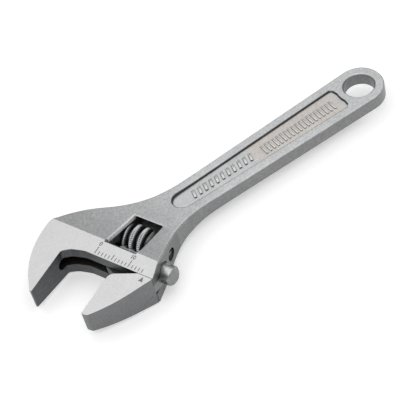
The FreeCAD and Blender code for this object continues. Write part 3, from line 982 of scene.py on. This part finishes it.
@dataclass
class ForgedBody(SteelPiece):
    """Handle, head and fixed jaw."""

    name: str = "forged_body"
    node: str = "wrench_body"
    body: str = "body"
    record_slot: str = "body_plate"
    bed_height: float = 1.5 * MM
    window_round: float = 0.34 * MM
    panel_round: float = 0.2 * MM
    wall_normal: float = 0.35
    pin_hole: float = 1.75 * MM
    pin_hole_from: float = 5.2 * MM
    window_rim: float = 3.0 * MM
    small_round: float = 0.09 * MM
    bevel_near: tuple[float, float] = (-15.29 * MM, 9.6 * MM)
    bevel_far: tuple[float, float] = (-5.21 * MM, 8.79 * MM)
    head_start: tuple[float, float] = (-15.6 * MM, -9.0 * MM)
    bevel_patch: Patch = Patch((-15.6 * MM, -4.5 * MM), (8.7 * MM, 10.4 * MM))
    bevel_notch: Patch = Patch((-5.4 * MM, -4.4 * MM), (8.5 * MM, 9.4 * MM))
    window: Patch = Patch((-15.4 * MM, -5.1 * MM), (10.1 * MM, 18.4 * MM))
    window_edge: Patch = Patch((-15.6 * MM, -5.6 * MM), (8.4 * MM, 18.5 * MM))
    marks: Patch = Patch((-5.6 * MM, -0.3 * MM), (7.0 * MM, 40.0 * MM))
    throat: Patch = Patch((-0.02 * MM, 40.0 * MM), (-0.05 * MM, HEAD.throat_length - 0.1 * MM))
    channel: tuple[float, float] = (-8.1 * MM, 4.9 * MM)
    channel_half: float = 2.66 * MM
    rod_axis: float = -5.34 * MM
    rod_hole: float = 2.7 * MM
    web_half: float = 1.56 * MM
    web_start: float = -6.0 * MM
    hole_edge: float = 4.6 * MM
    fold: float = 0.42 * MM
    fold_shift: float = 0.16 * MM
    rims: RimBlank = field(default_factory=RimBlank)

    def outer_shape(self) -> bmesh.types.BMesh:
        """The body's joined shape, its outer rims cut to the rounded envelope."""
        whole = merged_copy(self.node)
        make_faces_whole(whole)
        blank = self.rims.object(mesh_of(whole, "sharp_body"))
        piece = new_object("rim_cut", mesh_of(merged_copy(self.node), "rim_cut"))
        trim = piece.modifiers.new("rims", "BOOLEAN")
        trim.operation = "INTERSECT"
        trim.solver = "EXACT"
        trim.object = blank
        piece = applied(piece)
        shape = shape_of(piece.data)
        for scrap in (blank, piece):
            bpy.data.objects.remove(scrap)
        bmesh.ops.remove_doubles(shape, verts=shape.verts, dist=WELD)
        make_faces_whole(shape)
        self._fold_near_bevel(shape)
        return shape

    def _bevel_rim(self) -> tuple[Vector, Vector]:
        """Near end of the near bevel's rim, and the way that it runs."""
        start = HEAD.row(*self.bevel_near)
        return start, (HEAD.row(*self.bevel_far) - start).normalized()

    def _fold_near_bevel(self, shape: bmesh.types.BMesh) -> None:
        """Give the window's near bevel a wide upper strip and a steep lower one."""
        start, rim = self._bevel_rim()
        inward = Vector((0.0, 0.0, 1.0)).cross(rim)
        if inward.dot(HEAD.across) < 0:
            inward.negate()
        faces = [f for f in shape.faces if self._in_window_bevel(f)]
        edges = {e for f in faces for e in f.edges}
        verts = {v for f in faces for v in f.verts}
        parts = faces + list(edges) + list(verts)
        place = start + inward * self.fold
        cut = bmesh.ops.bisect_plane(shape, geom=parts, dist=1e-7, plane_co=place, plane_no=inward)
        folded = [g for g in cut["geom_cut"] if isinstance(g, bmesh.types.BMVert)]
        LOG.info("near bevel: %d faces, %d places on the fold", len(faces), len(folded))
        for vert in folded:
            vert.co += HEAD.across * self.fold_shift
        shape.normal_update()

    def round_first(self, shape: bmesh.types.BMesh) -> None:
        """Round the panel's upper rim, in the same dark painted shade as its wall."""
        rim = ZONE_ORDER.index(Zone.RIM)
        edges = []
        for edge in shape.edges:
            kinds = {face.material_index for face in edge.link_faces}
            if rim in kinds and len(kinds) == 2 and edge.is_convex:
                edges.append(edge)
        bmesh.ops.bevel(
            shape, geom=edges, offset=self.panel_round, segments=2, profile=0.5, affect="EDGES",
            material=rim,
        )
        shape.normal_update()

    def _on_strip(self, point: Vector) -> bool:
        """Whether a place on the near bevel is above its fold."""
        start, rim = self._bevel_rim()
        away = (point - start) - rim * (point - start).dot(rim)
        return Vector((away.x, away.y)).length < self.fold

    def zone(self, face: bmesh.types.BMFace) -> Zone:
        """Sort a face of the body."""
        middle = face.calc_center_median()
        reach, across, height = HEAD.local(middle)
        flat = self.flat_kind(face)
        if flat:
            return flat
        in_head = reach > self.head_start[0] and across > self.head_start[1]
        if abs(face.normal.z) > self.flat_normal and abs(abs(middle.z) - self.bed_height) < self.slack:
            # flats at the bed's height inside the head take the slot finish's painted shadow
            return Zone.PANEL if not in_head else Zone.SLOT
        if not in_head:
            # the panel's wall takes the rim's painted shade
            return Zone.RIM if self._is_panel_wall(face) else Zone.FORGED
        if self._is_mark_wall(face, reach, across):
            return Zone.MARK
        # the near bevel's upper strip takes a painted highlight, its lower strip the inner walls' painted shade
        if self._in_window_bevel(face):
            return Zone.BEVEL if self._on_strip(middle) else Zone.INNER
        # the pin hole, the rod's channel and the web's slot take the slot finish's painted shadow
        if self._in_pin_hole(middle):
            return Zone.SLOT
        # this notch takes the bevel's painted highlight
        if self.bevel_notch.holds(reach, across) and abs(height) > self.window_rim:
            return Zone.BEVEL
        in_channel = abs(height) < self.channel_half and self.channel[0] < reach < self.channel[1]
        if in_channel and self._faces_inside(face):
            return Zone.SLOT
        if abs(face.normal.z) >= self.wall_normal:
            return Zone.FORGED
        # window and throat walls take the inner walls' painted shade, the others the outer walls' painted shade
        inner = self.window.holds(reach, across) or self.throat.holds(reach, across)
        return Zone.INNER if inner else Zone.OUTER

    def _in_pin_hole(self, point: Vector) -> bool:
        """Whether a place is on the wall of the hole that the screw pin is sunk in."""
        axis = WormAxis()
        away = point - axis.middle
        along = away.dot(axis.direction)
        return (away - axis.direction * along).length < self.pin_hole and along > self.pin_hole_from

    def _is_panel_wall(self, face: bmesh.types.BMFace) -> bool:
        """Whether a face is the low wall round the handle's panel."""
        heights = [abs(v.co.z) for v in face.verts]
        from_bed = abs(min(heights) - self.bed_height) < self.slack
        return from_bed and abs(face.normal.z) < 0.3 and max(heights) < 2 * self.bed_height

    def _is_mark_wall(self, face: bmesh.types.BMFace, reach: float, across: float) -> bool:
        """Whether a face is the low wall of an engraved mark."""
        return self.is_low_wall(face) and self.marks.holds(reach, across)

    def _faces_inside(self, face: bmesh.types.BMFace) -> bool:
        """Whether every corner of a face lies inside the rod's channel or the web's slot."""
        for vert in face.verts:
            reach, across, height = HEAD.local(vert.co)
            in_rod = math.hypot(reach - self.rod_axis, height) < self.rod_hole
            in_web = abs(height) < self.web_half and reach > self.web_start
            if not (in_rod or in_web):
                return False
        return True

    def _in_window_bevel(self, face: bmesh.types.BMFace) -> bool:
        """Whether a face is on the wide bevel on the window's near side."""
        reach, across, _ = HEAD.local(face.calc_center_median())
        leans = face.normal.dot(HEAD.across) > 0.3 and 0.15 < abs(face.normal.z) < self.flat_normal
        return leans and self.bevel_patch.holds(reach, across)

    def edge_round(self, edge: bmesh.types.BMEdge) -> float:
        """Round of one of the body's corners."""
        if Zone.SLOT in {ZONE_ORDER[face.material_index] for face in edge.link_faces}:
            return self.small_round
        ups = sorted(abs(face.normal.z) for face in edge.link_faces)
        middle = (edge.verts[0].co + edge.verts[1].co) / 2
        reach, across, _ = HEAD.local(middle)
        if self.window_edge.holds(reach, across):
            on_rim = ups[1] > self.flat_normal and abs(middle.z) > self.window_rim
            return self.window_round if on_rim else 0.0
        in_hole = max(abs(middle.x), abs(middle.y)) < self.hole_edge
        return self.small_round if in_hole else 0.0


@dataclass
class GroundJaw(SteelPiece):
    """Sliding jaw with its web and toothed rod."""

    name: str = "ground_jaw"
    node: str = "sliding_jaw"
    body: str = "jaw"
    record_slot: str = "jaw_steel"
    edge_break: float = 0.1 * MM
    tooth_break: float = 0.06 * MM
    mark_start: float = 0.2 * MM
    foot_reach: float = 3.0 * MM
    foot_length: float = 6.5 * MM

    def zone(self, face: bmesh.types.BMFace) -> Zone:
        """Sort a face of the jaw."""
        reach, across, _ = HEAD.local(face.calc_center_median())
        flat = self.flat_kind(face)
        if flat and reach > 0:
            return flat
        if reach > self.mark_start and self.is_low_wall(face):
            return Zone.MARK
        if reach < self.slack:
            return Zone.FORGED
        past_face = across - HEAD.opening
        on_foot = reach < self.foot_reach and past_face < self.foot_length
        # the jaw's inner face and foot take the inner walls' painted shade, the rest the outer walls' painted
        # shade
        return Zone.INNER if past_face < 3 * self.slack or on_foot else Zone.OUTER

    def edge_round(self, edge: bmesh.types.BMEdge) -> float:
        """Round of one of the jaw's corners."""
        reach, _, _ = HEAD.local((edge.verts[0].co + edge.verts[1].co) / 2)
        return self.edge_break if reach > 0 else self.tooth_break


# ------------------------------------------------------------------ worm, pin and spring
@dataclass
class ThumbWorm:
    """The worm with its rounded thread and the fine knurl on the thread's crest."""

    radius: float = 4.1 * MM
    length: float = 7.6 * MM
    lead: float = 2.4 * MM
    depth: float = 1.3 * MM
    phase: float = 0.98 * MM
    crest: float = 0.24 * MM
    flank_foot: float = 0.88 * MM
    roundness: float = 2.5
    chamfer: float = 0.9 * MM
    bore: float = 1.55 * MM
    pocket: float = 2.14 * MM
    pocket_depth: float = 3.0 * MM
    knurl_depth: float = 0.20 * MM
    knurl_full: float = 0.2 * MM
    knurl_end: float = 0.5 * MM
    knurls: int = 50
    samples_per_knurl: int = 5
    rows: int = 200
    hard_angle: float = 50.0

    def build(self) -> bpy.types.Object:
        """Make the worm by a Geometry Nodes tree.

        Returns:
            The worm, riding on its body in place of the CAD node.
        """
        sheet = GeometrySheet("worm_tree", {
            "Radius": self.radius, "Length": self.length, "Lead": self.lead, "Thread Depth": self.depth,
            "Knurl Depth": self.knurl_depth, "Knurls": self.knurls,
        })
        columns = self.knurls * self.samples_per_knurl
        counts = {"Vertices X": columns + 1, "Vertices Y": self.rows + 1}
        grid = sheet.node("GeometryNodeMeshGrid", inputs={"Size X": 1.0, "Size Y": 1.0, **counts})
        sheet_x, sheet_y, _ = sheet.parts(sheet.node("GeometryNodeInputPosition"))
        turn = (sheet_x + 0.5) * math.tau
        run = sheet_y + 0.5
        along, radius = self._profile(sheet.given, turn, run)
        around = {"X": radius * turn.cosine(), "Y": radius * turn.sine(), "Z": along}
        spot = sheet.node("ShaderNodeCombineXYZ", inputs=around)
        moved = sheet.node("GeometryNodeSetPosition", inputs={"Geometry": grid, "Position": spot})
        closed = sheet.node("GeometryNodeMergeByDistance", inputs={"Geometry": moved, "Distance": 1e-6})
        worm = sheet.make("thumb_worm", closed, Finish.WORM_STEEL.material())
        worm.data.transform(WormAxis().placing() @ self._start_turn())
        self._settle(worm)
        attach(worm, "worm")
        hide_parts("worm")
        LOG.info("thumb_worm: %d faces", len(worm.data.polygons))
        return worm

    def _profile(self, given: dict[str, Field], turn: Field, run: Field) -> tuple[Field, Field]:
        """Height and radius over the closed section of the worm.

        The section runs up the thread, over the far end, down the spring's pocket, through the
        bore and out over the near end.

        Args:
            given: the tree's inputs.
            turn: angle about the axis.
            run: nought to one along the section.

        Returns:
            Height along the axis, from the worm's middle, and radius.
        """
        length = given["Length"]
        up = run.ramp(0.0, 0.8) * length
        down = run.ramp(0.85, 0.9) * self.pocket_depth
        down = down + run.ramp(0.92, 0.97) * (length - self.pocket_depth)
        height = up - down
        cycle = ((height - self.phase) / given["Lead"] - turn / math.tau + 0.5).fraction() - 0.5
        off_crest = abs(cycle) * given["Lead"]
        slope = off_crest.ramp(self.crest, self.flank_foot) ** self.roundness
        knurl = (turn * given["Knurls"]).cosine() * 0.5 + 0.5
        notch = knurl * off_crest.ramp(self.knurl_full, self.knurl_end, 1.0, 0.0) * given["Knurl Depth"]
        thread = given["Radius"] - slope * given["Thread Depth"] - notch
        near_limit = height + (given["Radius"] - self.chamfer)
        far_limit = length - height + (given["Radius"] - self.chamfer)
        outside = thread.least(near_limit).least(far_limit)
        inside = self.pocket - run.ramp(0.9, 0.92) * (self.pocket - self.bore)
        blend = run.ramp(0.8, 0.85) - run.ramp(0.97, 1.0)
        return height - length / 2, outside * (1 - blend) + inside * blend

    def _start_turn(self) -> Matrix:
        """Turn about the axis that brings the thread into mesh with the rack at rest."""
        placing = WormAxis().placing().to_3x3()
        local = placing.inverted() @ HEAD.reach
        return Matrix.Rotation(math.atan2(local.y, local.x), 4, "Z")

    def _settle(self, worm: bpy.types.Object) -> None:
        """Point the faces outward and shade the thread smooth."""
        shape = shape_of(worm.data)
        bmesh.ops.recalc_face_normals(shape, faces=shape.faces)
        put_back(shape, worm.data)
        shade_smooth(worm.data, self.hard_angle)


@dataclass
class PinAndSpring:
    """The worm's screw pin and spring, which keep their CAD shape and take their finish here."""

    finishes: dict[str, Finish] = field(
        default_factory=lambda: {"worm_pin": Finish.PIN_STEEL, "worm_spring": Finish.SPRING_WIRE}
    )

    def dress(self) -> None:
        """Put the finishes on the two CAD nodes."""
        for node, finish in self.finishes.items():
            mesh = frame["nodes"][node].data
            mesh.materials.clear()
            mesh.materials.append(finish.material())
            LOG.info("%s: %s", node, finish.value.name)


# ------------------------------------------------------------------ raised marks in the panel
@dataclass
class MarkRow:
    """A row of plain raised bars in the panel of the handle."""

    name: str
    layout: BarLayout
    height: float
    bed: float = 1.5 * MM
    sink: float = 0.05 * MM
    edge: float = 0.09 * MM
    hard_angle: float = 40.0

    def build(self, side: int) -> bpy.types.Object:
        """Make the row on one face of the handle.

        Args:
            side: one for the upper face, minus one for the lower.

        Returns:
            The row, riding on the body.
        """
        layout = self.layout
        sheet = GeometrySheet(self.name + "_tree", {
            "Count": layout.count, "Bar Length": layout.length, "Bar Width": layout.width,
            "Bar Height": self.height + self.sink,
        })
        start, end = ((along, layout.offset, 0.0) for along in (layout.start, layout.end))
        line = sheet.node(
            "GeometryNodeMeshLine", {"mode": "END_POINTS"},
            {"Count": sheet.given["Count"], "Start Location": start, "Offset": end},
        )
        sides = ("Bar Width", "Bar Length", "Bar Height")
        inputs = {axis: sheet.given[name] for axis, name in zip("XYZ", sides)}
        size = sheet.node("ShaderNodeCombineXYZ", inputs=inputs)
        bar = sheet.node("GeometryNodeMeshCube", inputs={"Size": size})
        placed = sheet.node(
            "GeometryNodeInstanceOnPoints",
            inputs={"Points": line, "Instance": bar, "Rotation": (0.0, 0.0, layout.tilt)},
        )
        name = f"{self.name}_{'upper' if side > 0 else 'lower'}"
        row = sheet.make(name, placed, Finish.RAISED_MARK.material())
        self._soften(row)
        lift = self.bed + (self.height - self.sink) / 2
        row.data.transform(Matrix.Translation((0.0, 0.0, lift)))
        if side < 0:
            row.data.transform(Matrix.Rotation(math.pi, 4, "X"))
        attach(row, "body")
        LOG.info("%s: %d faces", row.name, len(row.data.polygons))
        return row

    def _soften(self, row: bpy.types.Object) -> None:
        """Draw the top of each bar in and round it."""
        shape = shape_of(row.data)
        edges = []
        for edge in shape.edges:
            low, high = sorted(vert.co.z for vert in edge.verts)
            if low > 0 or high - low > self.sink:
                edges.append(edge)
        bmesh.ops.bevel(shape, geom=edges, offset=self.edge, segments=2, profile=0.5, affect="EDGES")
        put_back(shape, row.data)
        shade_smooth(row.data, self.hard_angle)


MARK_ROWS = [
    MarkRow("size_bars", SIZE_BARS, 0.34 * MM),
    MarkRow("grip_bars", GRIP_BARS, 0.24 * MM),
]


# ------------------------------------------------------------------ studio
@dataclass
class Studio:
    """Floor, lights and camera."""

    target: Vector = field(default_factory=lambda: Vector((-51.53, -1.33, 0.0)) * MM)
    distance: float = 407.43 * MM
    bearing: float = math.radians(22.432)
    elevation: float = math.radians(47.885)
    roll: float = math.radians(-16.233)
    lens: float = 148.03
    floor_half: float = 3.0
    floor_grey: float = 0.92
    floor_glow: float = 0.30
    light_height: float = 0.62
    light_size: float = 1.5
    light_power: float = 5.6
    surround: float = 0.3

    def build(self) -> None:
        """Put up the whole studio."""
        self._floor()
        self._lights()
        self._camera()
        bpy.context.scene.view_settings.view_transform = "Standard"
        LOG.info("studio ready")

    def _floor(self) -> None:
        """Plain pale floor under the lowest point of the wrench."""
        low = CAD_BOX[0][2]
        mesh = bpy.data.meshes.new("floor")
        half = self.floor_half
        corners = [(-half, -half, low), (half, -half, low), (half, half, low), (-half, half, low)]
        mesh.from_pydata(corners, [], [(0, 1, 2, 3)])
        floor = new_object("floor", mesh)
        material = bpy.data.materials.new("floor_paper")
        material.use_nodes = True
        shader = material.node_tree.nodes["Principled BSDF"]
        shader.inputs["Base Color"].default_value = Tone(self.floor_grey).rgba()
        shader.inputs["Roughness"].default_value = 0.9
        shader.inputs["Emission Color"].default_value = (1.0, 1.0, 1.0, 1.0)
        shader.inputs["Emission Strength"].default_value = self.floor_glow
        mesh.materials.append(material)

    def _lights(self) -> None:
        """One broad soft light overhead and a dim surround."""
        lamp = bpy.data.lights.new("overhead", "AREA")
        lamp.shape = "DISK"
        lamp.size = self.light_size
        lamp.energy = self.light_power
        light = bpy.data.objects.new("overhead", lamp)
        light.location = self.target + Vector((0.0, 0.0, self.light_height))
        bpy.context.scene.collection.objects.link(light)
        world = bpy.data.worlds.new("surround")
        world.use_nodes = True
        world.node_tree.nodes["Background"].inputs["Color"].default_value = Tone(self.surround).rgba()
        bpy.context.scene.world = world

    def _camera(self) -> None:
        """Camera on its bearing, with its roll."""
        ahead = Vector((
            math.sin(self.bearing) * math.cos(self.elevation),
            math.cos(self.bearing) * math.cos(self.elevation),
            -math.sin(self.elevation),
        ))
        level = ahead.cross(Vector((0.0, 0.0, 1.0))).normalized()
        above = level.cross(ahead)
        right = level * math.cos(self.roll) + above * math.sin(self.roll)
        up = right.cross(ahead)
        lens = bpy.data.cameras.new("camera")
        lens.lens = self.lens
        lens.clip_start = 0.01
        camera = bpy.data.objects.new("camera", lens)
        turn = Matrix((right, up, -ahead)).transposed().to_4x4()
        camera.matrix_world = Matrix.Translation(self.target - ahead * self.distance) @ turn
        bpy.context.scene.collection.objects.link(camera)
        bpy.context.scene.camera = camera


def main() -> None:
    """Build every piece of the wrench, then the studio."""
    logging.basicConfig(level=logging.INFO, format="%(name)s: %(message)s")
    Studio().build()
    ForgedBody().build()
    GroundJaw().build()
    ThumbWorm().build()
    PinAndSpring().dress()
    for row in MARK_ROWS:
        for side in (1, -1):
            row.build(side)


if __name__ == "__main__":
    main()
